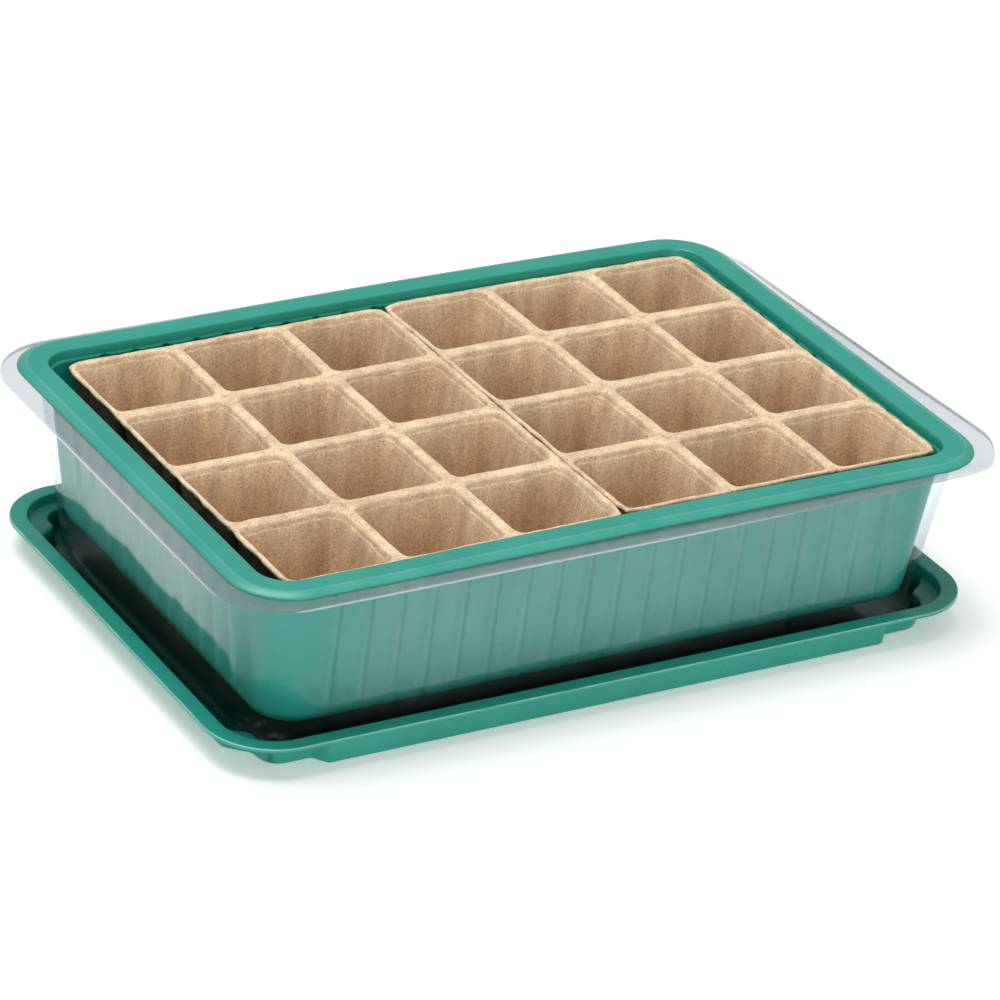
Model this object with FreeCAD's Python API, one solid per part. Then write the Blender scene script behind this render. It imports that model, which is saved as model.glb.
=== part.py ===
"""Humidity dome tray: drip tray, clear dome, seed tray and two strips of fibre pots.

The set is modelled nested, as it is sold and stored: the clear dome lies upside down in
the drip tray, the seed tray hangs in the dome by its rim, and the pot strips stand on the
raised deck of the seed tray.  Millimetres, +Z up, origin on the ground under the middle.
"""
import FreeCAD, Part
import math
import os

# ---------------------------------------------------------------- driving dimensions
POT_PITCH = (53.5, 54.2)    # cell to cell, across and along a strip
CELLS_X = 3                 # cells across one strip
CELLS_Y = 4                 # cells along one strip
TOTAL_HEIGHT = 88.5         # ground to the top of the seed tray's rim
GAP = 0.3                   # clearance left wherever one piece rests on another

# drip tray
DRIP_SHEET = 0.7
DRIP_CENTRE = (-0.6, 0.2)
DRIP_LIP = (184.7, 124.0)   # half length and half width over the flange
DRIP_LIP_RADIUS = 30.8
DRIP_LIP_DROP = 1.6         # the edge of the flange is turned down this far
DRIP_HEIGHT = 16.0
DRIP_FLANGE_WIDTH = (7.5, 6.8)        # on the short sides and on the long ones
DRIP_SHELF_DEPTH = 5.0      # corner shelves lie this far below the flange
DRIP_FLOOR = (172.6, 116.2)           # half sizes of the basin at the ground
DRIP_CORNER_FLOOR = (163.2, 110.1)    # the same in the corners, which are set back
DRIP_CORNER_RADIUS = 9.0
DRIP_BULGE_HALF = (139.2, 92.4)       # half lengths of the straight bulged stretches
DRIP_BULGE_RADIUS = 3.0
DRIP_DRAFT = 0.14           # outward millimetres per millimetre of height
DRIP_MOUTH_LEAN = 0.6       # the mouth opens out this far above the shelf

# clear dome, upside down
DOME_SHEET = 0.5
DOME_LIP = (189.8, 130.5)
DOME_LIP_RADIUS = 32.0
DOME_LIP_DROP = 2.2
DOME_FLANGE_TOP = 86.1
DOME_WALL_TOP = (174.3, 118.3)
DOME_WALL_TOP_RADIUS = 25.0
DOME_WALL_FOOT = (166.8, 111.0)
DOME_WALL_FOOT_RADIUS = 37.0
DOME_ROOF_FILLET = 8.0
DOME_NECK = ((2.5, 0.0, 0.0), (1.0, 0.8, 0.0), (0.0, 2.4, 2.0))   # below flange, out, added radius

# seed tray
SEED_SHEET = 0.8
SEED_CENTRE = (-0.9, 0.8)
SEED_MOUTH = (166.9, 112.6)           # half sizes of the opening inside the rim
SEED_MOUTH_RADIUS = 14.0
SEED_RIM_FLAT = 9.8                   # mouth to the crease in the rim's top
SEED_RIM_EDGE = 13.0                  # mouth to the outer edge, past the crease
SEED_RIM_FALL = 0.25                  # the band outside the crease slopes down this much
SEED_SKIRT_OUT = 13.8                 # mouth to the foot of the skirt
SEED_SKIRT_HEIGHT = 2.1
SEED_SHOULDER_DEPTH = 5.5             # the stepped shoulder lies this far below the rim
SEED_SHOULDER_STEP = 0.9
SEED_DEPTH = 74.5
SEED_TAPER = 6.4                      # the wall leans in this much over its height
SEED_WALL_RADIUS = 17.0               # corner radius at the foot
SEED_SHOULDER_RADIUS = 14.0           # corner radius at the shoulder
SEED_FOOT_FILLET = 5.0
RIB_PITCH = 15.0
RIB_WIDTH = 4.4
RIB_HEIGHT = 0.9
RIB_COUNT = (19, 11)                  # ribs along a long wall and along a short one
DECK_RISE = 12.0                      # raised deck in the seed tray's floor
DECK_HALF = (147.0, 93.0)
DECK_RADIUS = 14.0
DECK_TAPER = 3.0

# pot strips
STRIP_TOP = 85.1
STRIP_HALF = (80.1, 108.0)
STRIP_EDGE_RADIUS = 8.5
STRIP_WEB = 2.2                       # thickness of the web that joins the cells
STRIP_MIDDLE = (1.7, 1.5)             # middle of the pair
STRIP_GAP = 0.9                       # between the two strips
STRIP_TURN = 0.5                     # degrees the pair sits out of square
PULP = 1.8
CELL_MOUTH = 24.0                     # half width of a cell's opening
CELL_MOUTH_RADIUS = 4.5
CELL_LEDGE_DEPTH = 3.2
CELL_LEDGE = 0.7                      # small ledge inside the mouth
CELL_MOUTH_LEAN = 0.3                 # the mouth opens out this far above the ledge
CELL_FLOOR = 16.0                     # half width of a cell's floor
CELL_FLOOR_RADIUS = 6.0
CELL_FOOT_FILLET = 3.0

EPS = 0.05                            # overlap that makes a clean boolean
OVERRUN = 5.0                         # cutters run this far past an open face


# ---------------------------------------------------------------- outlines and lofts
def arc(centre_x, centre_y, radius, start_deg, end_deg, z):
    """Circular edge about a centre, from one angle to another."""
    points = []
    for angle in (start_deg, (start_deg + end_deg) / 2, end_deg):
        a = math.radians(angle)
        x = centre_x + radius * math.cos(a)
        y = centre_y + radius * math.sin(a)
        points.append(FreeCAD.Vector(x, y, z))
    return Part.Arc(*points).toShape()


def side(start, end, rib_count, outward):
    """Straight edge, broken by low half-round ribs when rib_count is not zero."""
    if rib_count == 0:
        return [Part.LineSegment(start, end).toShape()]
    run = end - start
    along = FreeCAD.Vector(run).normalize()
    first = run.Length / 2 - (rib_count - 1) * RIB_PITCH / 2
    edges = []
    last = start
    for index in range(rib_count):
        middle = start + along * (first + index * RIB_PITCH)
        left = middle - along * (RIB_WIDTH / 2)
        right = middle + along * (RIB_WIDTH / 2)
        edges.append(Part.LineSegment(last, left).toShape())
        edges.append(Part.Arc(left, middle + outward * RIB_HEIGHT, right).toShape())
        last = right
    edges.append(Part.LineSegment(last, end).toShape())
    return edges


def outline(half_x, half_y, radius, z, ribs=(0, 0)):
    """Rounded rectangle at height z; ribs gives the ribs on a long and a short side."""
    in_x = half_x - radius
    in_y = half_y - radius
    corner = [(in_x, in_y), (-in_x, in_y), (-in_x, -in_y), (in_x, -in_y)]
    outward = [FreeCAD.Vector(0, 1, 0), FreeCAD.Vector(-1, 0, 0),
               FreeCAD.Vector(0, -1, 0), FreeCAD.Vector(1, 0, 0)]
    edges = []
    for index in range(4):
        cx, cy = corner[index]
        start = 90 * index
        bend = arc(cx, cy, radius, start, start + 90, z)
        next_x, next_y = corner[(index + 1) % 4]
        push = outward[index] * radius
        line_start = FreeCAD.Vector(cx, cy, z) + push
        line_end = FreeCAD.Vector(next_x, next_y, z) + push
        edges.append(bend)
        edges.extend(side(line_start, line_end, ribs[index % 2], outward[index]))
    return Part.Wire(edges)


def stack(levels, ribs=(0, 0)):
    """Solid through rounded rectangles; a level is (half_x, half_y, radius, z)."""
    wires = [outline(*level, ribs) for level in levels]
    return Part.makeLoft(wires, True, True)


def inset(level, distance):
    """The same level drawn in by a distance on every side."""
    half_x, half_y, radius, z = level
    return (half_x - distance, half_y - distance, radius - distance, z)


def foot_fillet(half_x, half_y, radius, z, fillet, steps=4):
    """Levels of a rounded foot that rises from height z to z + fillet."""
    levels = []
    for index in range(steps + 1):
        a = math.radians(90 * index / steps)
        back = fillet * (1 - math.sin(a))
        rise = fillet * (1 - math.cos(a))
        levels.append((half_x - back, half_y - back, radius - back / 2, z + rise))
    return levels


def move_to(shape, centre, turn_deg=0.0):
    """Copy of a shape, turned about +Z and moved in the ground plane."""
    moved = shape.copy()
    moved.rotate(FreeCAD.Vector(0, 0, 0), FreeCAD.Vector(0, 0, 1), turn_deg)
    moved.translate(FreeCAD.Vector(centre[0], centre[1], 0))
    return moved


def save(name, shape):
    """Write one piece as a STEP file, as its bare solid."""
    solid = shape.removeSplitter()
    if len(solid.Solids) == 1:
        solid = solid.Solids[0]
    print(name, "valid", solid.isValid(), "cm3", round(solid.Volume / 1000, 1))
    solid.exportStep("parts/" + name + ".step")


# ---------------------------------------------------------------- drip tray
def drip_basin(margin):
    """The basin as a block: a shallow upper part over a deeper cross with set-back corners."""
    shelf_z = DRIP_HEIGHT - DRIP_SHELF_DEPTH
    wide, narrow = DRIP_FLANGE_WIDTH
    mouth = (DRIP_LIP[0] - wide - margin, DRIP_LIP[1] - narrow - margin,
             DRIP_LIP_RADIUS - wide - margin, DRIP_HEIGHT)
    shelf = inset(mouth, DRIP_MOUTH_LEAN)
    floor_z = margin
    spread = DRIP_DRAFT * shelf_z
    shelf_floor_z = shelf_z - DRIP_SHEET + margin
    upper = stack([shelf[:3] + (shelf_floor_z,), mouth[:3] + (DRIP_HEIGHT + EPS,)])

    def lower(half_x, half_y, radius):
        foot = (half_x - margin, half_y - margin, radius, floor_z)
        head = (half_x - margin + spread, half_y - margin + spread, radius, shelf_z + EPS)
        return stack([foot, head])

    corners = lower(DRIP_CORNER_FLOOR[0], DRIP_CORNER_FLOOR[1], DRIP_CORNER_RADIUS)
    long_bulge = stack([
        (DRIP_BULGE_HALF[0] - margin, DRIP_FLOOR[1] - margin, DRIP_BULGE_RADIUS, floor_z),
        (DRIP_BULGE_HALF[0] - margin + spread, shelf[1], DRIP_BULGE_RADIUS, shelf_z + EPS)])
    short_bulge = stack([
        (DRIP_FLOOR[0] - margin, DRIP_BULGE_HALF[1] - margin, DRIP_BULGE_RADIUS, floor_z),
        (shelf[0], DRIP_BULGE_HALF[1] - margin + spread, DRIP_BULGE_RADIUS, shelf_z + EPS)])
    return upper.fuse([corners, long_bulge, short_bulge])


def make_drip_tray():
    """Shallow thermoformed tray with a flat flange and four set-back corners."""
    lip = DRIP_LIP + (DRIP_LIP_RADIUS, DRIP_HEIGHT)
    flange = stack([lip[:3] + (DRIP_HEIGHT - DRIP_LIP_DROP,), lip])
    under_lip = stack([inset(lip, DRIP_SHEET)[:3] + (DRIP_HEIGHT - DRIP_LIP_DROP - EPS,),
                       inset(lip, DRIP_SHEET)[:3] + (DRIP_HEIGHT - DRIP_SHEET,)])
    outer = drip_basin(0.0)
    above = stack([lip, lip[:3] + (DRIP_HEIGHT + OVERRUN,)])
    body = flange.cut(under_lip).fuse(outer).cut(above)
    return body.cut(drip_basin(DRIP_SHEET))


# ---------------------------------------------------------------- clear dome
def dome_levels(margin):
    """Levels of the dome's wall from its roof, which lies lowest, up to the flange."""
    roof_z = DRIP_SHEET + GAP
    half_x, half_y = DOME_WALL_FOOT
    levels = foot_fillet(half_x, half_y, DOME_WALL_FOOT_RADIUS, roof_z, DOME_ROOF_FILLET)
    for below, out, wider in DOME_NECK:
        levels.append((DOME_WALL_TOP[0] + out, DOME_WALL_TOP[1] + out,
                       DOME_WALL_TOP_RADIUS + wider, DOME_FLANGE_TOP - below))
    if margin == 0:
        return levels
    inner = [inset(level, margin) for level in levels]
    inner[0] = inner[0][:3] + (roof_z + margin,)
    inner[1] = inner[1][:3] + (inner[1][3] + margin / 2,)
    return inner


def make_clear_dome():
    """Clear cover with a flat flange, drawn upside down."""
    lip = DOME_LIP + (DOME_LIP_RADIUS, DOME_FLANGE_TOP)
    drop_z = DOME_FLANGE_TOP - DOME_LIP_DROP
    flange = stack([lip[:3] + (drop_z,), lip])
    under = stack([inset(lip, DOME_SHEET)[:3] + (drop_z - EPS,),
                   inset(lip, DOME_SHEET)[:3] + (DOME_FLANGE_TOP - DOME_SHEET,)])
    inner = dome_levels(DOME_SHEET)
    inner.append(inner[-1][:3] + (DOME_FLANGE_TOP + OVERRUN,))
    return flange.cut(under).fuse(stack(dome_levels(0.0))).cut(stack(inner))


# ---------------------------------------------------------------- seed tray
def seed_wall_levels(margin):
    """Levels of the seed tray's lower wall, from its foot up to the shoulder."""
    foot_z = TOTAL_HEIGHT - SEED_DEPTH
    shoulder_z = TOTAL_HEIGHT - SEED_SHOULDER_DEPTH
    step = SEED_SHOULDER_STEP - SEED_SHEET + margin
    top = (SEED_MOUTH[0] - step, SEED_MOUTH[1] - step, SEED_SHOULDER_RADIUS, shoulder_z)
    foot = (top[0] - SEED_TAPER, top[1] - SEED_TAPER, SEED_WALL_RADIUS, foot_z + margin)
    return foot_fillet(*foot, SEED_FOOT_FILLET) + [top]


def make_seed_tray():
    """Deep tray: creased rim with a short skirt, stepped shoulder, ribbed walls, raised deck."""
    skirt_z = TOTAL_HEIGHT - SEED_SKIRT_HEIGHT
    shoulder_z = TOTAL_HEIGHT - SEED_SHOULDER_DEPTH

    def ring(out, z):
        return (SEED_MOUTH[0] + out, SEED_MOUTH[1] + out, SEED_MOUTH_RADIUS + out, z)

    edge_z = TOTAL_HEIGHT - SEED_RIM_FALL
    rim = stack([ring(SEED_SKIRT_OUT, skirt_z),
                 ring(SEED_RIM_EDGE, edge_z),
                 ring(SEED_RIM_FLAT, TOTAL_HEIGHT)])
    under_rim = stack([ring(SEED_SKIRT_OUT - SEED_SHEET, skirt_z - EPS),
                       ring(SEED_RIM_EDGE - SEED_SHEET, edge_z - SEED_SHEET),
                       ring(SEED_RIM_FLAT - SEED_SHEET, TOTAL_HEIGHT - SEED_SHEET)])
    collar = stack([ring(SEED_SHEET, shoulder_z), ring(SEED_SHEET, TOTAL_HEIGHT)])
    levels = seed_wall_levels(0.0)
    foot = stack(levels[:-1])
    ribbed_wall = stack(levels[-2:], RIB_COUNT)
    body = rim.cut(under_rim).fuse([collar, foot, ribbed_wall])

    mouth = stack([ring(0.0, shoulder_z + SEED_SHEET), ring(0.0, TOTAL_HEIGHT + OVERRUN)])
    cavity_levels = seed_wall_levels(SEED_SHEET)
    cavity_levels[-1] = cavity_levels[-1][:3] + (shoulder_z + SEED_SHEET + EPS,)
    deck_z = TOTAL_HEIGHT - SEED_DEPTH + DECK_RISE
    foot_z = TOTAL_HEIGHT - SEED_DEPTH

    def deck(margin, low_z):
        foot = (DECK_HALF[0] + margin, DECK_HALF[1] + margin, DECK_RADIUS + margin, low_z)
        head = (DECK_HALF[0] + margin - DECK_TAPER, DECK_HALF[1] + margin - DECK_TAPER,
                DECK_RADIUS + margin - DECK_TAPER / 2, deck_z + margin)
        return stack([foot, head])

    cavity = stack(cavity_levels).fuse(mouth).cut(deck(SEED_SHEET, foot_z - EPS))
    return body.cut(cavity).cut(deck(0.0, foot_z - EPS))


# ---------------------------------------------------------------- pot strips
def cell_centres():
    """Middles of the twelve cells of a strip."""
    centres = []
    for column in range(CELLS_X):
        for row in range(CELLS_Y):
            x = (column - (CELLS_X - 1) / 2) * POT_PITCH[0]
            y = (row - (CELLS_Y - 1) / 2) * POT_PITCH[1]
            centres.append((x, y))
    return centres


def make_strip():
    """Twelve tapered cells of moulded fibre, joined by a thin web at their mouths."""
    foot_z = TOTAL_HEIGHT - SEED_DEPTH + DECK_RISE + SEED_SHEET + GAP
    web_z = STRIP_TOP - STRIP_WEB
    ledge_z = STRIP_TOP - CELL_LEDGE_DEPTH
    edge = STRIP_HALF + (STRIP_EDGE_RADIUS,)
    web = stack([edge + (web_z,), edge + (STRIP_TOP,)])
    foot_half = CELL_FLOOR + PULP
    head_half = CELL_MOUTH + PULP
    pot = stack(foot_fillet(foot_half, foot_half, CELL_FLOOR_RADIUS + PULP, foot_z, CELL_FOOT_FILLET)
                + [(head_half, head_half, CELL_MOUTH_RADIUS + PULP, web_z + EPS)])
    below = CELL_MOUTH - CELL_LEDGE
    hollow = stack(foot_fillet(CELL_FLOOR, CELL_FLOOR, CELL_FLOOR_RADIUS, foot_z + PULP, CELL_FOOT_FILLET)
                   + [(below, below, CELL_MOUTH_RADIUS, ledge_z + EPS)])
    lip = CELL_MOUTH - CELL_MOUTH_LEAN
    mouth = stack([(lip, lip, CELL_MOUTH_RADIUS, ledge_z),
                   (CELL_MOUTH, CELL_MOUTH, CELL_MOUTH_RADIUS, STRIP_TOP + EPS)])
    cutter = hollow.fuse(mouth)
    pots = [move_to(pot, centre) for centre in cell_centres()]
    cutters = [move_to(cutter, centre) for centre in cell_centres()]
    return web.fuse(pots).cut(cutters)


def strip_centre(direction):
    """Middle of the left (-1) or right (+1) strip of the turned pair."""
    reach = direction * (STRIP_HALF[0] + STRIP_GAP / 2)
    turn = math.radians(STRIP_TURN)
    return (STRIP_MIDDLE[0] + reach * math.cos(turn), STRIP_MIDDLE[1] + reach * math.sin(turn))


def main():
    os.makedirs("parts", exist_ok=True)
    save("drip_tray", move_to(make_drip_tray(), DRIP_CENTRE))
    save("clear_dome", make_clear_dome())
    save("seed_tray", move_to(make_seed_tray(), SEED_CENTRE))
    strip = make_strip()
    save("pot_strip_left", move_to(strip, strip_centre(-1), STRIP_TURN))
    save("pot_strip_right", move_to(strip, strip_centre(1), STRIP_TURN))


main()
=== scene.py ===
"""Humidity dome tray set, nested: the look of every piece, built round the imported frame.

Each piece is a thin formed sheet.  Its upper face is a stack of rings round a rounded
rectangle, and the sheet's thickness is added below it.  Metres, +Z up.
"""

import math

import bpy
import numpy as np
from mathutils import Matrix, Vector, noise


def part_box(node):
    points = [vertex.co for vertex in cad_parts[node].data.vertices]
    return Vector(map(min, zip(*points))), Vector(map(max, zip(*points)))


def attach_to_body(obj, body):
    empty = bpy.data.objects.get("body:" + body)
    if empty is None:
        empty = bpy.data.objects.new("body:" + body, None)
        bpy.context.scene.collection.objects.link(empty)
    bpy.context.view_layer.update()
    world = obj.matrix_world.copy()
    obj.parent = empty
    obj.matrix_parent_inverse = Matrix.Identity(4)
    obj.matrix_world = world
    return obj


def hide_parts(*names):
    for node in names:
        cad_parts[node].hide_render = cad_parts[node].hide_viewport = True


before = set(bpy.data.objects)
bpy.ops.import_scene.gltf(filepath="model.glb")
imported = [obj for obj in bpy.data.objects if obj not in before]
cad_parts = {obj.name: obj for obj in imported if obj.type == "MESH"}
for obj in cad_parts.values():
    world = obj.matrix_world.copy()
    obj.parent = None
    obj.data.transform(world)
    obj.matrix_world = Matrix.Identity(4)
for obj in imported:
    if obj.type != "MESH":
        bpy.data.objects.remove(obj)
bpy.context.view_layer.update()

MM = 0.001
COLUMN_STEP = 4 * MM                  # along the straight sides of the trays
NOISE_SEED = 7                        # fixed, because Blender takes it from the clock otherwise

# ---------------------------------------------------------------- driving sizes
DRIP_SHEET = 0.7 * MM
DRIP_LIP_RADIUS = 30.8 * MM
DRIP_LIP_DROP = 1.6 * MM
DRIP_FLANGE = (8.2 * MM, 7.5 * MM)    # edge of the flange to the inside, short and long sides
DRIP_SHELF_DEPTH = 5.0 * MM
DRIP_FLOOR_INSET = (12.4 * MM, 7.9 * MM)          # edge of the flange to the basin's floor
DRIP_CORNER_INSET = (22.2 * MM, 14.6 * MM)        # the same in the set-back corners
DRIP_CORNER_RADIUS = 9.0 * MM
DRIP_BULGE_HALF = (139.2 * MM, 92.4 * MM)
DRIP_BULGE_BLEND = (3.4 * MM, 6.5 * MM)           # half lengths of the bends at a bulge's ends
DRIP_MIDDLE_INSET = (36.0 * MM, 28.0 * MM)        # edge of the flange to the level middle
DRIP_WALL_LEAN = 0.6 * MM
DRIP_CORNER_DRAFT = 1.4 * MM
DRIP_BENDS = (0.6 * MM, 0.9 * MM, 1.5 * MM, 1.3 * MM, 1.2 * MM)
DRIP_EDGE_HIGHLIGHT = ((2, 0.5), (3, 0.95), (4, 0.95), (5, 0.5))    # ring along the flange's edge, amount of painted highlight

DOME_SHEET = 0.5 * MM
DOME_LIP_RADIUS = 32.0 * MM
DOME_FLANGE = (13.6 * MM, 12.4 * MM)              # edge of the flange to the wall
DOME_WALL_RADIUS = (25.0 * MM, 36.5 * MM)         # at the flange and at the foot
DOME_FOOT_INSET = (23.5 * MM, 20.0 * MM)
DOME_FILLET = 7.0 * MM
DOME_LIP_DROP = 2.2 * MM
DOME_LIP_LEAN = 0.35 * MM
DOME_SHOULDER_INSET = (16.0 * MM, 12.7 * MM)
DOME_SHOULDER_DEPTH = 3.0 * MM
DOME_ROOF_INSET = (49.0 * MM, 45.0 * MM)          # edge of the flange to the level roof
DOME_ROOF_RADIUS = 20.0 * MM
DOME_BENDS = (0.6 * MM, 1.6 * MM, 1.6 * MM, DOME_FILLET)
DOME_SAG = 4.2 * MM                               # fall of the flange at the back right
DOME_CURL = 2.2 * MM                              # rise of its edge at the front right
DOME_WAVE = 0.35 * MM                             # unevenness of the walls
DOME_CRUMPLE = 0.4 * MM                           # depth of the creases at the roof's corners

SEED_SHEET = 0.8 * MM
SEED_EDGE = 13.8 * MM                 # mouth to the foot of the skirt
SEED_BAND = 12.9 * MM                 # mouth to the outside of the sloping band
SEED_BAND_FALL = 1.2 * MM
SEED_RIM = 9.8 * MM                   # mouth to the crease in the rim's top
SEED_RIDGE = 0.22 * MM                # the crease stands this far above the rim's flat
SEED_RIDGE_WIDTH = (1.1 * MM, 1.3 * MM)    # outer and inner halves of the crease
SEED_RIDGE_FALL = 0.12 * MM           # its outer foot lies this far below the rim's flat
SEED_SKIRT_HEIGHT = 2.1 * MM
SEED_MOUTH_RADIUS = 14.0 * MM
SEED_SHOULDER_DEPTH = 4.8 * MM
SEED_SHOULDER_STEP = 0.9 * MM
SEED_WALL_RADIUS = (14.0 * MM, 17.0 * MM)
SEED_TAPER = 6.4 * MM
SEED_FILLET = 5.5 * MM
RIB_PITCH = 15.0 * MM
RIB_HALF = 3.3 * MM
RIB_HEIGHT = 1.6 * MM
RIB_REACH = (9, 5)                    # ribs each side of the middle one, long and short wall
DECK_HALF = (147.8 * MM, 93.8 * MM)
DECK_RADIUS = 14.0 * MM
DECK_RISE = 12.0 * MM
DECK_TAPER = 3.0 * MM
SEED_BENDS = (0.6 * MM, 0.4 * MM, 0.4 * MM, 0.5 * MM, 1.1 * MM, 0.4 * MM, 0.5 * MM,
              SEED_FILLET, 1.5 * MM, 1.5 * MM)
SEED_ARCH = 1.3 * MM                  # rise of the long rims
STRIP_ARCH = 1.1 * MM                 # rise of the strips between them
ARCH_MIDDLE = 35.0 * MM
ARCH_HALF = 150.0 * MM

CELL_PITCH = (53.5 * MM, 54.2 * MM)   # across and along a strip
CELL_COUNT = (3, 4)
CELL_MOUTH = 24.0 * MM
CELL_FLOOR = 16.0 * MM
CELL_MOUTH_RADIUS = 4.5 * MM
CELL_FLOOR_RADIUS = 6.0 * MM
PULP = 1.8 * MM
STRIP_EDGE_RADIUS = 8.5 * MM
STRIP_HALF = (80.1 * MM, 108.0 * MM)
STRIP_TURN = math.radians(0.5)
STRIP_OFFSET = 1.0 * MM                # each strip lies this far off the middle, in y
LEFT_LEAN = (1.9 * MM, -0.3 * MM)      # move of the outer edge at the back and at the front
RIGHT_LEAN = (0.9 * MM, 0.0)
PULP_WANDER = 0.30 * MM                # softness of the cells' walls
PULP_RAGGED = 0.45 * MM                # wander of the outer edge
CREASE_RISE = 0.9 * MM                 # how far the crease below the mouths comes and goes
CREASE_SHIFT = 0.5 * MM
CAMERA_UNIT = 53.5 * MM

# ---------------------------------------------------------------- looks
GREEN_TONES = ((0.0135, 0.268, 0.206), (0.0185, 0.308, 0.240))
# pale colour of the real dust flecks, and of the highlights painted along the drip tray's lip and the
# seed tray's rim crease
GREEN_DUST_AND_HIGHLIGHT = (0.30, 0.56, 0.48)
# painted shade in the drip tray's basin and round the seed tray's foot
GREEN_PAINTED_SHADE = (0.004, 0.080, 0.064)
PULP_TONES = ((0.725, 0.545, 0.372), (0.845, 0.662, 0.472))
PULP_GRAIN = ((0.56, 0.50, 0.44), (1.0, 1.0, 1.0), (1.24, 1.24, 1.24))
PULP_STREAKS = ((0.86, 0.83, 0.78), (1.14, 1.15, 1.10))
PULP_FLECK = (0.13, 0.075, 0.04)
# painted shade, growing deeper down the cells
PULP_DEPTH_SHADE = (0.87, 0.845, 0.81)
# painted shade on the outsides of the pulp strips
PULP_OUTSIDE_SHADE = (0.075, 0.045, 0.025)
CLEAR_HAZE = (0.86, 0.90, 0.92)
CLEAR_TINTS = ((0.940, 0.955, 0.965), (0.745, 0.765, 0.785))    # walls and flange
CLEAR_HEAD_ON_MIRROR = 0.036

# ---------------------------------------------------------------- stage and camera
FLOOR_HALF = 6.0
FLOOR_TONE = (0.93, 0.93, 0.93)
FLOOR_GLOW = 0.26
SURROUND_GLOW = 0.46
LIGHTS = (("key", (-0.40, 0.20, 2.15), 1.5, 39.0),
          ("card", (-0.5, -1.9, 0.45), 1.2, 12.0))    # name, place, size and watts
CAMERA_AZIMUTH = math.radians(-31.555)
CAMERA_ELEVATION = math.radians(27.341)
CAMERA_ROLL = math.radians(4.923)
CAMERA_AIM = (-2.0 * MM, 1.0 * MM)     # on the level of the seed tray's rim
CAMERA_OFFSET = (0.058 * CAMERA_UNIT, -0.797 * CAMERA_UNIT, 40.133 * CAMERA_UNIT)
CAMERA_LENS = 177.26
CAMERA_SENSOR = 36.0


# ---------------------------------------------------------------- outlines
def node_place(node):
    """(middle x, middle y), (half x, half y), lowest z and highest z of a CAD node."""
    low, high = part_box(node)
    middle = (low + high) / 2
    half = (high - low) / 2
    return (middle.x, middle.y), (half.x, half.y), low.z, high.z


def quadrant(level, columns_x, columns_y, corner_count):
    """Points of a rounded rectangle from +X round to +Y, at fixed columns on its sides.

    The columns run from 0 to a reach, drawn closer on a level too small for them, and the
    corner between the reaches takes corner_count points evenly along its run.
    """
    half_x, half_y, radius = level[:3]
    in_x = half_x - radius
    in_y = half_y - radius
    columns_x = columns_x * min(1.0, (in_x + 0.6 * radius) / columns_x[-1])
    columns_y = columns_y * min(1.0, (in_y + 0.6 * radius) / columns_y[-1])
    reach_x = columns_x[-1]
    reach_y = columns_y[-1]

    def bow(columns, straight):
        past = np.clip(columns - straight, 0.0, radius)
        return np.sqrt(radius ** 2 - past ** 2) - radius

    right = np.column_stack([half_x + bow(columns_y, in_y), columns_y])
    top = np.column_stack([columns_x, half_y + bow(columns_x, in_x)])[::-1]
    start = math.asin(min(max((reach_y - in_y) / radius, 0.0), 1.0))
    end = math.pi / 2 - math.asin(min(max((reach_x - in_x) / radius, 0.0), 1.0))
    first = max(in_y - reach_y, 0.0)
    last = max(in_x - reach_x, 0.0)
    bend = radius * (end - start)
    run = np.linspace(0.0, first + bend + last, corner_count + 2)[1:-1]
    angle = start + np.clip(run - first, 0.0, bend) / radius
    x = in_x + radius * np.cos(angle) - np.clip(run - first - bend, 0.0, None)
    y = in_y + radius * np.sin(angle) - np.clip(first - run, 0.0, None)
    return np.vstack([right, np.column_stack([x, y]), top])


def full_loop(quarter):
    """Closed loop of a quadrant's points mirrored into all four."""
    parts = [quarter[:-1],
             (quarter * (-1, 1))[::-1][:-1],
             (quarter * (-1, -1))[:-1],
             (quarter * (1, -1))[::-1][:-1]]
    return np.vstack(parts)


def even_columns(reach, step):
    return np.linspace(0.0, reach, round(reach / step) + 1)


def rounded_profile(keys, bends, bend_steps=5, spacing=None):
    """Levels through the key levels, each inner key rounded by its bend's setback."""
    keys = [np.array(k, float) for k in keys]
    levels = [keys[0]]
    for index in range(1, len(keys) - 1):
        before, key, after = keys[index - 1:index + 2]
        reach = bends[index - 1]
        back = min(reach / np.hypot(*(before - key)[[1, 3]]), 0.48)
        ahead = min(reach / np.hypot(*(after - key)[[1, 3]]), 0.48)
        start = key + (before - key) * back
        end = key + (after - key) * ahead
        for t in np.linspace(0.0, 1.0, bend_steps):
            levels.append((1 - t) ** 2 * start + 2 * t * (1 - t) * key + t ** 2 * end)
    levels.append(keys[-1])
    if spacing is None:
        return np.array(levels)
    filled = [levels[0]]
    for level in levels[1:]:
        gap = np.hypot(*(level - filled[-1])[[1, 3]])
        parts = max(1, math.ceil(gap / spacing))
        start = filled[-1]
        for part in range(1, parts + 1):
            filled.append(start + (level - start) * part / parts)
    return np.array(filled)


def smooth_step(value, low, high):
    t = np.clip((value - low) / (high - low), 0.0, 1.0)
    return t * t * (3 - 2 * t)


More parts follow.
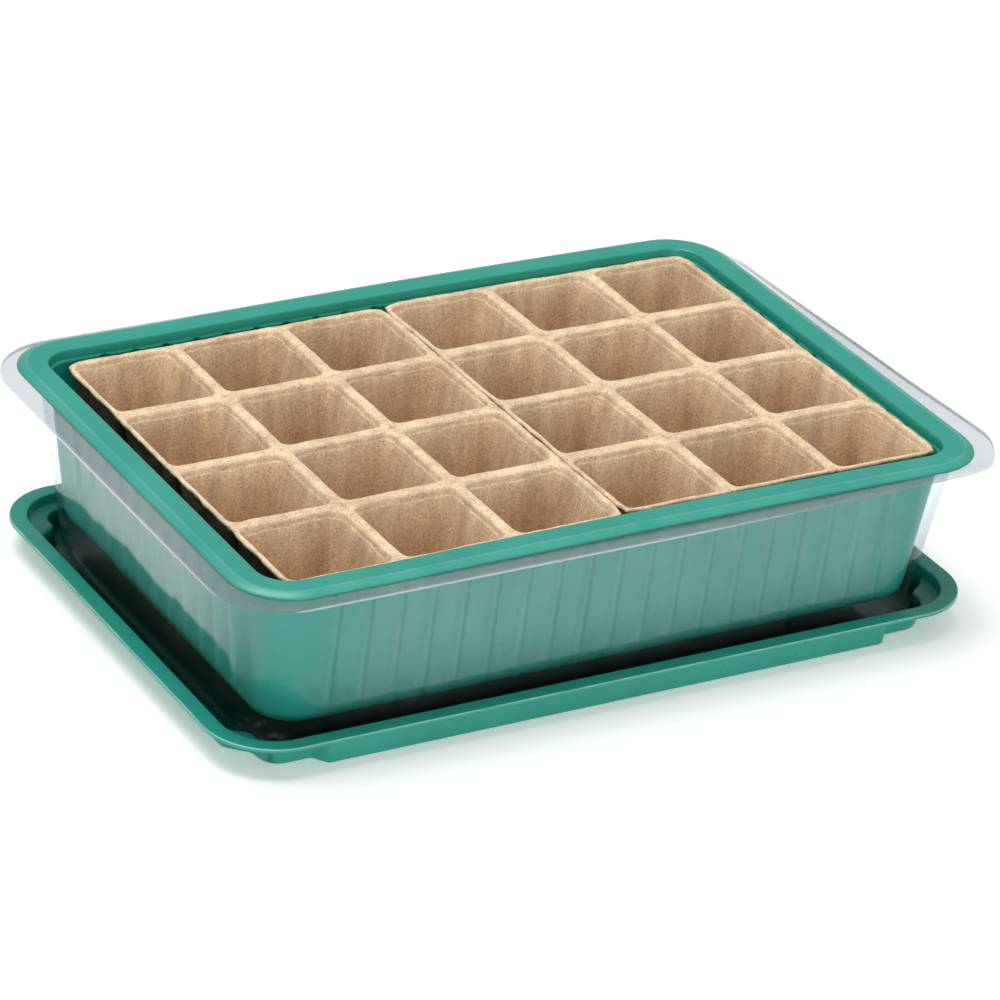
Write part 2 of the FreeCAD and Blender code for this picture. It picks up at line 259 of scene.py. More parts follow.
# ---------------------------------------------------------------- meshes
def sheet_object(name, rings, centre, thickness, highlight_rings=(), close_steps=(0.75, 0.4, 0.04)):
    """Mesh of stacked closed rings, drawn in to a flat middle, thickened downwards.

    The rings listed with an amount get a pale highlight painted into their colour.
    """
    last = rings[-1]
    extra = [last * (share, share, 1.0) for share in close_steps]
    rings = np.concatenate([rings, np.array(extra)])
    ring_count, around = rings.shape[:2]
    points = rings.reshape(-1, 3) + (centre[0], centre[1], 0.0)
    faces = []
    for r in range(ring_count - 1):
        a = r * around
        b = a + around
        for k in range(around):
            n = (k + 1) % around
            faces.append((a + k, a + n, b + n, b + k))
    faces.append(tuple(range((ring_count - 1) * around, ring_count * around)))
    obj = mesh_object(name, points, faces, thickness)
    # painted highlight: the listed rings are painted pale, in patches
    amount = np.zeros((ring_count, around))
    patch = wobble(rings[0], 14 * MM, 41)[:, 0]
    for ring, value in highlight_rings:
        amount[ring] = value * np.clip(0.85 + 0.8 * patch, 0.25, 1.0)
    layer = obj.data.attributes.new("painted_highlight", "FLOAT", "POINT")
    layer.data.foreach_set("value", amount.ravel())
    return obj


def mesh_object(name, points, faces, thickness):
    mesh = bpy.data.meshes.new(name)
    mesh.from_pydata([tuple(p) for p in points], [], faces)
    mesh.validate()
    mesh.polygons.foreach_set("use_smooth", [True] * len(mesh.polygons))
    obj = bpy.data.objects.new(name, mesh)
    bpy.context.scene.collection.objects.link(obj)
    solid = obj.modifiers.new("sheet", "SOLIDIFY")
    solid.thickness = thickness
    solid.offset = -1.0
    return obj


def attach(obj, node, body, material):
    """The piece stands for its CAD node and rides on that node's body."""
    obj.data.materials.append(material)
    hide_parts(node)
    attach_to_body(obj, body)
    return obj


def wobble(points, scale, seed):
    """Smooth noise vectors, about -1 to 1, one for each point."""
    shift = Vector((seed * 7.31, seed * 3.17, seed * 5.71))
    return np.array([noise.noise_vector(Vector(p) / scale + shift) for p in points])


# ---------------------------------------------------------------- drip tray
def make_drip_tray(material):
    """Shallow tray: flat flange, turned-down lip, long bulged stretches, set-back corners."""
    centre, half, low, high = node_place("drip_tray")
    floor = low + DRIP_SHEET
    shelf = high - DRIP_SHELF_DEPTH

    def level(inset_x, inset_y, radius, z):
        return (half[0] - inset_x, half[1] - inset_y, radius, z)

    edge = level(0, 0, DRIP_LIP_RADIUS, high - DRIP_LIP_DROP)
    edge_top = level(0, 0, DRIP_LIP_RADIUS, high)
    wide, narrow = DRIP_FLANGE
    mouth = level(wide, narrow, DRIP_LIP_RADIUS - wide, high)
    lean = DRIP_WALL_LEAN
    side_x, side_y = DRIP_FLOOR_INSET
    back_x, back_y = DRIP_CORNER_INSET
    draft = DRIP_CORNER_DRAFT
    middle = level(*DRIP_MIDDLE_INSET, DRIP_CORNER_RADIUS, floor)
    straight_keys = [
        edge, edge_top, mouth,
        level(wide + lean * 0.7, narrow + lean * 0.3, DRIP_CORNER_RADIUS, shelf + 1.2 * MM),
        level(wide + lean * 1.8, narrow + lean * 0.4, DRIP_CORNER_RADIUS, shelf - 1.6 * MM),
        level(side_x, side_y, DRIP_CORNER_RADIUS, floor), middle]
    corner_keys = [
        edge, edge_top, mouth,
        level(wide + lean, narrow + lean, DRIP_LIP_RADIUS - wide - lean, shelf),
        level(back_x - draft, back_y - draft, DRIP_CORNER_RADIUS, shelf),
        level(back_x, back_y, DRIP_CORNER_RADIUS, floor), middle]
    straight = rounded_profile(straight_keys, DRIP_BENDS, 6)
    corner = rounded_profile(corner_keys, DRIP_BENDS, 6)

    def columns(bulge, blend, past):
        coarse = even_columns(bulge - 2 * blend, COLUMN_STEP)[:-1]
        fine = np.linspace(bulge - 2 * blend, bulge + past, 22)
        return np.concatenate([coarse, fine])

    columns_x = columns(DRIP_BULGE_HALF[0], DRIP_BULGE_BLEND[0], DRIP_BULGE_BLEND[0] + 1.5 * MM)
    columns_y = columns(DRIP_BULGE_HALF[1], DRIP_BULGE_BLEND[1], DRIP_BULGE_BLEND[1] + 1.0 * MM)
    corner_count = 36
    weight_x = smooth_step(columns_x, DRIP_BULGE_HALF[0] - DRIP_BULGE_BLEND[0],
                           DRIP_BULGE_HALF[0] + DRIP_BULGE_BLEND[0])
    weight_y = smooth_step(columns_y, DRIP_BULGE_HALF[1] - DRIP_BULGE_BLEND[1],
                           DRIP_BULGE_HALF[1] + DRIP_BULGE_BLEND[1])
    weight = np.concatenate([weight_y, np.ones(corner_count), weight_x[::-1]])[:, None]
    rings = []
    for flat, deep in zip(straight, corner):
        a = quadrant(flat, columns_x, columns_y, corner_count)
        b = quadrant(deep, columns_x, columns_y, corner_count)
        quarter = a * (1 - weight) + b * weight
        height = flat[3] * (1 - weight) + deep[3] * weight
        loop = full_loop(quarter)
        z = full_loop(np.hstack([height, height]))
        rings.append(np.column_stack([loop, np.abs(z[:, 0])]))
    return attach(sheet_object("drip_tray_shell", np.array(rings), centre, DRIP_SHEET, DRIP_EDGE_HIGHLIGHT),
                  "drip_tray", "base", material)


# ---------------------------------------------------------------- clear dome
def flange_bow(points, half, high):
    """Rise of the thin flange: it sags towards the back right and curls up elsewhere."""
    x, y, z = points.T
    on_flange = smooth_step(z, high - 26 * MM, high - 2 * MM)
    right = smooth_step(x, 0.0, half[0])
    sag = -DOME_SAG * right * smooth_step(y, -70 * MM, 120 * MM)
    outside = smooth_step(np.maximum(np.abs(x) - half[0], np.abs(y) - half[1]), -8 * MM, 0.0)
    curl = DOME_CURL * right * (1 - smooth_step(y, -110 * MM, -30 * MM))
    return sag * on_flange + curl * outside * on_flange


def make_clear_dome(material):
    """Clear cover lying upside down: flange with a turned-down lip, leaning walls, soft roof corners."""
    centre, half, low, high = node_place("clear_dome")
    roof = low + DOME_SHEET
    top_radius, foot_radius = DOME_WALL_RADIUS

    def level(inset_x, inset_y, radius, z):
        return (half[0] - inset_x, half[1] - inset_y, radius, z)

    keys = [level(0, 0, DOME_LIP_RADIUS, high - DOME_LIP_DROP),
            level(DOME_LIP_LEAN, DOME_LIP_LEAN, DOME_LIP_RADIUS, high),
            level(*DOME_FLANGE, DOME_LIP_RADIUS * 0.84, high),
            level(*DOME_SHOULDER_INSET, top_radius, high - DOME_SHOULDER_DEPTH),
            level(*DOME_FOOT_INSET, foot_radius, roof),
            level(*DOME_ROOF_INSET, DOME_ROOF_RADIUS, roof)]
    levels = rounded_profile(keys, DOME_BENDS, 5, spacing=5 * MM)
    columns_x = even_columns(128 * MM, COLUMN_STEP)
    columns_y = even_columns(70 * MM, COLUMN_STEP)
    rings = []
    for ring_level in levels:
        loop = full_loop(quadrant(ring_level, columns_x, columns_y, 40))
        rings.append(np.column_stack([loop, np.full(len(loop), ring_level[3])]))
    rings = np.array(rings)
    flat = rings.reshape(-1, 3)

    # the thin sheet is a little uneven, and crumpled where it turns the roof's corners
    wave = wobble(flat, 45 * MM, 3)
    crumple = wobble(flat, 5 * MM, 5)
    height = (flat[:, 2] - roof) / (high - roof)
    wall = smooth_step(height, 0.03, 0.3) * (1 - smooth_step(height, 0.75, 0.95))
    corner = (smooth_step(np.abs(flat[:, 0]), 135 * MM, 158 * MM)
              * smooth_step(np.abs(flat[:, 1]), 78 * MM, 100 * MM))
    foot = corner * (1 - smooth_step(height, 0.06, 0.2)) * smooth_step(height, 0.003, 0.02)
    inward = -np.sign(flat) * (1, 1, 0)
    flat = (flat + wave * (DOME_WAVE * wall)[:, None]
            + np.abs(crumple) * (DOME_CRUMPLE * foot)[:, None] * inward)
    flat[:, 2] += flange_bow(flat, half, high)
    return attach(sheet_object("clear_dome_shell", flat.reshape(rings.shape), centre, DOME_SHEET),
                  "clear_dome", "dome", material)


# ---------------------------------------------------------------- seed tray
def rib_columns(count, reach):
    """Columns close together across each rib, and one between each two."""
    offsets = np.array([0.0, 0.28, 0.56, 0.82, 1.08]) * RIB_HALF
    found = {0.0}
    for index in range(count + 1):
        middle = index * RIB_PITCH
        for offset in offsets:
            found.add(round(middle + offset, 7))
            found.add(round(middle - offset, 7))
        found.add(round(middle + RIB_PITCH / 2, 7))
    kept = sorted(x for x in found if 0 <= x < reach - 1 * MM)
    return np.array(kept + [reach])


def rib_push(along, height, count, low, high):
    """Outward height of the ribs at places along a wall: soft swells with rounded ends."""
    nearest = np.clip(np.round(along / RIB_PITCH), -count, count) * RIB_PITCH
    across = (along - nearest) / RIB_HALF
    past = np.maximum(np.maximum(height - high, low - height), 0.0) / RIB_HALF
    reach = np.clip(np.hypot(across, past), 0.0, 1.0)
    return RIB_HEIGHT * np.cos(reach * math.pi / 2) ** 2


def arch(x, rise):
    """Height that the long sides bow up, most a little right of the middle."""
    return rise * np.clip(1 - ((x - ARCH_MIDDLE) / ARCH_HALF) ** 2, 0.0, 1.0)


def make_seed_tray(material):
    """Deep tray: creased rim, short skirt, stepped shoulder, ribbed walls, raised deck."""
    centre, half, low, high = node_place("seed_tray")
    mouth = (half[0] - SEED_EDGE, half[1] - SEED_EDGE)
    floor = low + SEED_SHEET
    shoulder = high - SEED_SHOULDER_DEPTH
    top_radius, foot_radius = SEED_WALL_RADIUS

    def ring(out, z, radius=None):
        if radius is None:
            radius = SEED_MOUTH_RADIUS + max(out, 0.0)
        return (mouth[0] + out, mouth[1] + out, radius, z)

    foot = -SEED_SHOULDER_STEP - SEED_TAPER
    deck_z = floor + DECK_RISE
    flat = high - SEED_RIDGE
    keys = [ring(SEED_EDGE, high - SEED_SKIRT_HEIGHT),
            ring(SEED_BAND, high - SEED_BAND_FALL),
            ring(SEED_RIM + SEED_RIDGE_WIDTH[0], flat - SEED_RIDGE_FALL),
            ring(SEED_RIM, high),
            ring(SEED_RIM - SEED_RIDGE_WIDTH[1], flat),
            ring(0.0, flat),
            ring(-0.25 * MM, shoulder),
            ring(-SEED_SHOULDER_STEP, shoulder - 0.7 * MM, top_radius),
            ring(foot, floor, foot_radius),
            DECK_HALF + (DECK_RADIUS, floor),
            (DECK_HALF[0] - DECK_TAPER, DECK_HALF[1] - DECK_TAPER, DECK_RADIUS - 1 * MM, deck_z),
            (DECK_HALF[0] - 20 * MM, DECK_HALF[1] - 20 * MM, DECK_RADIUS / 2, deck_z)]
    bend_steps = 5
    # painted highlight: a little outside the crease, and most along it
    highlight_rings = [(number, 0.10) for number in range(1, 11)]
    highlight_rings += [(11, 0.16), (12, 0.24), (13, 0.26), (14, 0.24), (15, 0.16)]
    levels = rounded_profile(keys, SEED_BENDS, bend_steps)
    # the ribbed wall takes close rings where the ribs end, and wider ones between
    keys_above_wall = 7    # bends of the profile above the wall's own run
    wall_start = keys_above_wall * bend_steps
    wall_top = levels[wall_start]
    wall_foot = levels[wall_start + 1]
    share = np.concatenate([np.linspace(0.0, 0.075, 8), np.linspace(0.075, 0.92, 6)[1:-1],
                            np.linspace(0.92, 1.0, 6)])[1:-1]
    wall = [wall_top + (wall_foot - wall_top) * t for t in share]
    levels = np.vstack([levels[:wall_start + 1], wall, levels[wall_start + 1:]])
    columns_x = rib_columns(RIB_REACH[0], 141 * MM)
    columns_y = rib_columns(RIB_REACH[1], 82 * MM)
    rings = []
    for level in levels:
        loop = full_loop(quadrant(level, columns_x, columns_y, 24))
        z = level[3]
        on_wall = wall_foot[3] - 1 * MM < z < wall_top[3] + 1 * MM
        if on_wall:
            long_side = np.abs(loop[:, 1]) > level[1] - 0.01 * MM
            short_side = np.abs(loop[:, 0]) > level[0] - 0.01 * MM
            ends = (floor + 7.5 * MM, shoulder - 2.8 * MM)
            push_y = rib_push(loop[:, 0], z, RIB_REACH[0], *ends) * long_side
            push_x = rib_push(loop[:, 1], z, RIB_REACH[1], *ends) * short_side
            loop = loop + np.sign(loop) * np.column_stack([push_x, push_y])
        rings.append(np.column_stack([loop, np.full(len(loop), z)]))
    rings = np.array(rings)
    on_rim = smooth_step(rings[:, :, 2], high - 22 * MM, high - 4 * MM)
    on_long_side = smooth_step(np.abs(rings[:, :, 1]), mouth[1] - 25 * MM, mouth[1])
    rings[:, :, 2] += arch(rings[:, :, 0], SEED_ARCH) * on_rim * on_long_side
    return attach(sheet_object("seed_tray_shell", rings, centre, SEED_SHEET, highlight_rings),
                  "seed_tray", "tray", material)


# ---------------------------------------------------------------- pot strips
def cell_levels(top, floor):
    """Levels of one cell, from the middle of the walls' tops down to the floor."""
    mouth = CELL_MOUTH
    bend = CELL_MOUTH_RADIUS
    rim = [(CELL_PITCH[0] / 2, 0.02 * MM, top),
           (mouth + 1.5 * MM, bend - 1.2 * MM, top - 0.03 * MM),
           (mouth + 0.75 * MM, bend - 0.4 * MM, top - 0.18 * MM),
           (mouth + 0.25 * MM, bend, top - 0.6 * MM),
           (mouth - 0.02 * MM, bend, top - 1.4 * MM),
           (mouth - 0.2 * MM, bend, top - 2.5 * MM),
           (mouth - 0.30 * MM, bend, top - 2.95 * MM),
           (mouth - 0.62 * MM, bend, top - 3.30 * MM),
           (mouth - 0.80 * MM, bend, top - 3.9 * MM)]
    start = rim[-1]
    fillet = 3.0 * MM
    end = (CELL_FLOOR + 0.3 * MM, CELL_FLOOR_RADIUS, floor + fillet)
    levels = list(rim)
    for t in np.linspace(0.0, 1.0, 16)[1:]:
        levels.append(tuple(np.array(start) * (1 - t) + np.array(end) * t))
    for angle in np.radians([25, 50, 72, 90]):
        back = fillet * (1 - math.cos(angle))
        levels.append((end[0] - back, CELL_FLOOR_RADIUS - back / 2, end[2] - fillet * math.sin(angle)))
    levels.append((CELL_FLOOR * 0.5, 3 * MM, floor))
    levels.append((CELL_FLOOR * 0.15, 1 * MM, floor))
    return levels


def settle(points, low, high, side, lean, offset):
    """A worn-in strip: its outer edge leans, it sits a little off, its middle stands up.

    side is -1 or 1 for the left or right strip; lean gives the outer edge's move in x at
    the back and at the front; offset moves the whole strip in y.
    """
    outer = 0.5 + side * points[:, 0] / (2 * STRIP_HALF[0])
    along = np.clip(points[:, 1] / STRIP_HALF[1], -1.0, 1.0)
    points[:, 0] += outer * np.where(along > 0, lean[0] * along, -lean[1] * along)
    depth = (points[:, 2] - low) / (high - low)
    world_x = points[:, 0] + side * STRIP_HALF[0]
    points[:, 2] += arch(world_x, STRIP_ARCH) * smooth_step(depth, 0.55, 0.95)
    points[:, 1] += offset
    return points


def make_strip(node, body, seed, side, lean, offset, material):
    """Twelve tapered cells of moulded fibre with soft flat wall tops and a ragged outer edge."""
    centre, _, low, high = node_place(node)
    levels = cell_levels(high - 0.05 * MM, low + PULP)
    columns = even_columns(16 * MM, 2.0 * MM)
    loops = []
    for half, radius, z in levels:
        reach = columns * min(1.0, half / (1.4 * columns[-1]))
        loop = full_loop(quadrant((half, half, max(radius, 0.02 * MM)), reach, reach, 9))
        loops.append(np.column_stack([loop, np.full(len(loop), z)]))
    loops[0][:, 1] *= CELL_PITCH[1] / CELL_PITCH[0]
    cell = np.array(loops)
    ring_count, around = cell.shape[:2]
    points = []
    faces = []
    keep = {}
    for column in range(CELL_COUNT[0]):
        for row in range(CELL_COUNT[1]):
            shift = ((column - (CELL_COUNT[0] - 1) / 2) * CELL_PITCH[0],
                     (row - (CELL_COUNT[1] - 1) / 2) * CELL_PITCH[1], 0.0)
            index = np.zeros((ring_count, around), int)
            for r in range(ring_count):
                for k in range(around):
                    p = cell[r, k] + shift
                    key = (round(p[0] * 1e5), round(p[1] * 1e5)) if r == 0 else (r, k, column, row)
                    if key not in keep:
                        keep[key] = len(points)
                        points.append(p)
                    index[r, k] = keep[key]
            for r in range(ring_count - 1):
                for k in range(around):
                    n = (k + 1) % around
                    faces.append((index[r, k], index[r, n], index[r + 1, n], index[r + 1, k]))
            faces.append(tuple(index[-1]))
    points = trim_strip(np.array(points), seed, low, high)
    points = settle(points, low, high, side, lean, offset)
    turn = np.array([[math.cos(STRIP_TURN), -math.sin(STRIP_TURN)],
                     [math.sin(STRIP_TURN), math.cos(STRIP_TURN)]])
    points[:, :2] = points[:, :2] @ turn.T + centre
    return attach(mesh_object(node + "_pulp", points, faces, PULP), node, body, material)


def trim_strip(points, seed, low, high):
    """Cuts the sheet to its outer edge, rounds its corners and lets the fibre wander a little."""
    half = np.array(STRIP_HALF)
    flat = points[:, :2]
    sign = np.sign(flat)
    flat = np.minimum(np.abs(flat), half)
    core = half - STRIP_EDGE_RADIUS
    past = np.maximum(flat - core, 0.0)
    reach = np.hypot(past[:, 0], past[:, 1])
    inside = np.minimum(1.0, STRIP_EDGE_RADIUS / np.maximum(reach, 1e-9))
    flat = np.where((past.min(axis=1) > 0)[:, None], core + past * inside[:, None], flat)
    points = points.copy()
    points[:, :2] = flat * sign
    depth = (points[:, 2] - low) / (high - low)
    edge = np.min(half - np.abs(points[:, :2]), axis=1)
    near_edge = (1 - smooth_step(edge, 0.0, 2.4 * MM)) * (depth > 0.9)
    broad = wobble(points, 16 * MM, seed)
    fine = wobble(points, 4.5 * MM, seed + 1)
    soft = PULP_WANDER * smooth_step(depth, 0.05, 0.35)
    points += broad * soft[:, None] + fine * (0.45 * soft)[:, None]
    # the crease below the mouths comes and goes along each wall
    below = (high - points[:, 2]) / MM
    crease = smooth_step(below, 1.2, 2.6) * (1 - smooth_step(below, 3.6, 6.5))
    points[:, 2] += crease * CREASE_RISE * wobble(points * (1, 1, 0), 10 * MM, seed + 2)[:, 0]
    points[:, :2] += (crease * CREASE_SHIFT)[:, None] * wobble(points, 6 * MM, seed + 3)[:, :2]
    drawn = PULP_RAGGED * (0.3 + broad[:, 2] + 0.9 * fine[:, 0])
    at_border = half - np.abs(points[:, :2]) < 3 * MM
    points[:, :2] -= np.sign(points[:, :2]) * (drawn * near_edge)[:, None] * at_border
    points[:, 2] -= near_edge * 0.15 * MM * (1 + 2.5 * fine[:, 1])
    points[:, 2] = np.minimum(points[:, 2], high)
    return points


# ---------------------------------------------------------------- materials
def new_material(name):
    material = bpy.data.materials.new(name)
    material.use_nodes = True
    nodes = material.node_tree.nodes
    return material, nodes, material.node_tree.links, nodes["Principled BSDF"]


def add_noise(nodes, links, coordinates, scale, detail=3.0, roughness=0.55, stretch=None):
    """Noise on the object's own coordinates, stretched along its axes if asked."""
    source = coordinates
    if stretch is not None:
        mapping = nodes.new("ShaderNodeMapping")
        mapping.inputs["Scale"].default_value = stretch
        links.new(coordinates, mapping.inputs["Vector"])
        source = mapping.outputs["Vector"]
    texture = nodes.new("ShaderNodeTexNoise")
    texture.inputs["Scale"].default_value = scale
    texture.inputs["Detail"].default_value = detail
    texture.inputs["Roughness"].default_value = roughness
    links.new(source, texture.inputs["Vector"])
    return texture.outputs["Fac"]


def add_ramp(nodes, links, source, stops):
    """Colour ramp; a stop is (position, colour)."""
    ramp = nodes.new("ShaderNodeValToRGB")
    elements = ramp.color_ramp.elements
    while len(elements) < len(stops):
        elements.new(0.5)
    for element, (position, colour) in zip(elements, stops):
        element.position = position
        element.color = colour + (1.0,) if len(colour) == 3 else colour
    links.new(source, ramp.inputs["Fac"])
    return ramp.outputs["Color"]


def add_range(nodes, links, source, from_low, from_high, to_low, to_high):
    remap = nodes.new("ShaderNodeMapRange")
    remap.inputs["From Min"].default_value = from_low
    remap.inputs["From Max"].default_value = from_high
    remap.inputs["To Min"].default_value = to_low
    remap.inputs["To Max"].default_value = to_high
    links.new(source, remap.inputs["Value"])
    return remap.outputs["Result"]


def add_math(nodes, links, operation, first, second=None):
    """Math on one or two sockets, or on a socket and a plain number."""
    step = nodes.new("ShaderNodeMath")
    step.operation = operation
    links.new(first, step.inputs[0])
    if isinstance(second, float):
        step.inputs[1].default_value = second
    elif second is not None:
        links.new(second, step.inputs[1])
    return step.outputs[0]


def mix_colours(nodes, links, amount, first, second, blend="MIX"):
    """Mix of a colour socket with a colour or socket, by a number or socket."""
    mix = nodes.new("ShaderNodeMix")
    mix.data_type = "RGBA"
    mix.blend_type = blend
    links.new(first, mix.inputs[6])
    if isinstance(amount, float):
        mix.inputs[0].default_value = amount
    else:
        links.new(amount, mix.inputs[0])
    if isinstance(second, tuple):
        mix.inputs[7].default_value = second + (1.0,)
    else:
        links.new(second, mix.inputs[7])
    return mix.outputs[2]


def mix_shaders(nodes, links, amount, first, second):
    mix = nodes.new("ShaderNodeMixShader")
    links.new(amount, mix.inputs[0])
    links.new(first, mix.inputs[1])
    links.new(second, mix.inputs[2])
    return mix.outputs["Shader"]


def add_bump(nodes, links, height, distance, strength, normal=None):
    bump = nodes.new("ShaderNodeBump")
    bump.inputs["Distance"].default_value = distance
    bump.inputs["Strength"].default_value = strength
    links.new(height, bump.inputs["Height"])
    if normal is not None:
        links.new(normal, bump.inputs["Normal"])
    return bump.outputs["Normal"]


def split_axes(nodes, links, vector):
    split = nodes.new("ShaderNodeSeparateXYZ")
    links.new(vector, split.inputs["Vector"])
    return split.outputs


def far_along(nodes, links, along, start, end):
    """0 up to start from the middle of the object, 1 from end on; the other way round if end < start."""
    distance = add_math(nodes, links, "ABSOLUTE", along)
    if end < start:
        return add_range(nodes, links, distance, end, start, 1.0, 0.0)
    return add_range(nodes, links, distance, start, end, 0.0, 1.0)


def painted_shade_mask(nodes, links, place):
    """1 where shade is painted: on the inside of the drip tray and round the foot of the seed tray."""
    at = split_axes(nodes, links, place)
    facing = split_axes(nodes, links, nodes.new("ShaderNodeNewGeometry").outputs["Normal"])
    inward = add_math(nodes, links, "ADD",
                      add_math(nodes, links, "MULTIPLY", at["X"], facing["X"]),
                      add_math(nodes, links, "MULTIPLY", at["Y"], facing["Y"]))
    inner = add_range(nodes, links, inward, -0.020, -0.005, 1.0, 0.0)
    level = add_range(nodes, links, facing["Z"], 0.3, 0.7, 0.0, 1.0)
    low = add_range(nodes, links, at["Z"], 6.0 * MM, 15.5 * MM, 1.0, 0.0)
    basin = add_math(nodes, links, "MULTIPLY", add_math(nodes, links, "MAXIMUM", inner, level), low)
    channel = add_math(nodes, links, "MAXIMUM",
                       far_along(nodes, links, at["X"], 125 * MM, 148 * MM),
                       far_along(nodes, links, at["Y"], 68 * MM, 91 * MM))
    basin = add_math(nodes, links, "MULTIPLY", basin, channel)
    under_seed_tray = add_math(nodes, links, "MULTIPLY",
                               far_along(nodes, links, at["X"], 162.5 * MM, 160.8 * MM),
                               far_along(nodes, links, at["Y"], 109.2 * MM, 107.5 * MM))
    foot = add_range(nodes, links, at["Z"], 15 * MM, 20 * MM, 0.9, 0.0)
    foot = add_math(nodes, links, "MULTIPLY", foot, under_seed_tray)
    return add_math(nodes, links, "MAXIMUM", basin, foot)


def outer_shade_mask(nodes, links, place, top):
    """Near 1 where shade is painted: on the outsides of the pulp strips, below the edge of their web."""
    at = split_axes(nodes, links, place)
    facing = split_axes(nodes, links, nodes.new("ShaderNodeNewGeometry").outputs["Normal"])
    sides = []
    for axis, reach in (("X", 146 * MM), ("Y", 95 * MM)):
        outward = add_math(nodes, links, "MULTIPLY", at[axis], facing[axis])
        turned = add_range(nodes, links, outward, 0.02, 0.06, 0.0, 1.0)
        far = far_along(nodes, links, at[axis], reach - 6 * MM, reach)
        sides.append(add_math(nodes, links, "MULTIPLY", turned, far))
    below = add_range(nodes, links, at["Z"], top - 2.8 * MM, top - 1.2 * MM, 1.0, 0.0)
    # the painted shade is mottled a little
    blotch = add_range(nodes, links, add_noise(nodes, links, place, 60.0, 4.0), 0.35, 0.65, 1.0, 0.82)
    below = add_math(nodes, links, "MULTIPLY", below, blotch)
    return add_math(nodes, links, "MULTIPLY", below, add_math(nodes, links, "MAXIMUM", *sides))


def green_plastic():
    """Satin formed sheet: sea green, faintly clouded, dusted with flecks, with painted highlights along
    the lip and the rim's crease and painted shade in the basin.
    """
    material, nodes, links, shader = new_material("green_plastic_sheet")
    place = nodes.new("ShaderNodeTexCoord").outputs["Object"]
    cloud = add_noise(nodes, links, place, 22.0, 4.0)
    colour = add_ramp(nodes, links, cloud, [(0.3, GREEN_TONES[0]), (0.7, GREEN_TONES[1])])
    fleck = add_noise(nodes, links, place, 1900.0, 2.0)
    dust = add_range(nodes, links, fleck, 0.74, 0.80, 0.0, 0.35)
    highlight_attribute = nodes.new("ShaderNodeAttribute")
    highlight_attribute.attribute_name = "painted_highlight"
    # real dust flecks and the painted highlights share one pale colour
    dust_and_highlight = add_math(nodes, links, "MAXIMUM", dust, highlight_attribute.outputs["Fac"])
    colour = mix_colours(nodes, links, dust_and_highlight, colour, GREEN_DUST_AND_HIGHLIGHT)
    # painted shade inside the drip tray's basin and round the seed tray's foot
    colour = mix_colours(nodes, links, painted_shade_mask(nodes, links, place), colour, GREEN_PAINTED_SHADE)
    links.new(colour, shader.inputs["Base Color"])
    smear = add_noise(nodes, links, place, 60.0, 5.0, 0.65)
    links.new(add_range(nodes, links, smear, 0.3, 0.7, 0.26, 0.40), shader.inputs["Roughness"])
    grain = add_noise(nodes, links, place, 1400.0, 3.0)
    dent = add_noise(nodes, links, place, 38.0, 2.0)
    normal = add_bump(nodes, links, dent, 1.2 * MM, 0.25)
    links.new(add_bump(nodes, links, grain, 0.06 * MM, 0.5, normal), shader.inputs["Normal"])
    shader.inputs["IOR"].default_value = 1.5
    return material


def fibre_pulp(top):
    """Moulded fibre: matted grain, drawn streaks, flecks, with painted shade deeper in the cells and on
    the strips' outsides.
    """
    material, nodes, links, shader = new_material("fibre_pulp_mat")
    place = nodes.new("ShaderNodeTexCoord").outputs["Object"]
    cloud = add_noise(nodes, links, place, 45.0, 4.0)
    colour = add_ramp(nodes, links, cloud, [(0.3, PULP_TONES[0]), (0.7, PULP_TONES[1])])
    grain = add_noise(nodes, links, place, 1100.0, 6.0, 0.75)
    tone = add_ramp(nodes, links, grain, list(zip((0.32, 0.5, 0.68), PULP_GRAIN)))
    colour = mix_colours(nodes, links, 1.0, colour, tone, "MULTIPLY")
    flow = add_noise(nodes, links, place, 130.0, 4.0, 0.6, stretch=(1.0, 1.0, 0.14))
    streak = add_ramp(nodes, links, flow, list(zip((0.36, 0.66), PULP_STREAKS)))
    colour = mix_colours(nodes, links, 1.0, colour, streak, "MULTIPLY")
    fleck = nodes.new("ShaderNodeTexVoronoi")
    fleck.inputs["Scale"].default_value = 260.0
    links.new(place, fleck.inputs["Vector"])
    spot = add_range(nodes, links, fleck.outputs["Distance"], 0.05, 0.11, 0.8, 0.0)
    chance = add_noise(nodes, links, place, 120.0, 2.0)
    seldom = add_range(nodes, links, chance, 0.52, 0.58, 0.0, 1.0)
    flecked = add_math(nodes, links, "MULTIPLY", spot, seldom)
    colour = mix_colours(nodes, links, flecked, colour, PULP_FLECK)
    # painted shade, deeper down the cells
    height = split_axes(nodes, links, place)["Z"]
    deep = add_range(nodes, links, height, top - 20 * MM, top - 2 * MM, 1.0, 0.0)
    colour = mix_colours(nodes, links, deep, colour, PULP_DEPTH_SHADE, "MULTIPLY")
    # painted shade on the outsides of the strips
    colour = mix_colours(nodes, links, outer_shade_mask(nodes, links, place, top), colour, PULP_OUTSIDE_SHADE)
    links.new(colour, shader.inputs["Base Color"])
    shader.inputs["Roughness"].default_value = 0.95
    shader.inputs["Specular IOR Level"].default_value = 0.2
    mat = add_noise(nodes, links, place, 420.0, 5.0, 0.7)
    normal = add_bump(nodes, links, mat, 1.0 * MM, 0.55)
    links.new(add_bump(nodes, links, grain, 0.45 * MM, 0.75, normal), shader.inputs["Normal"])
    return material


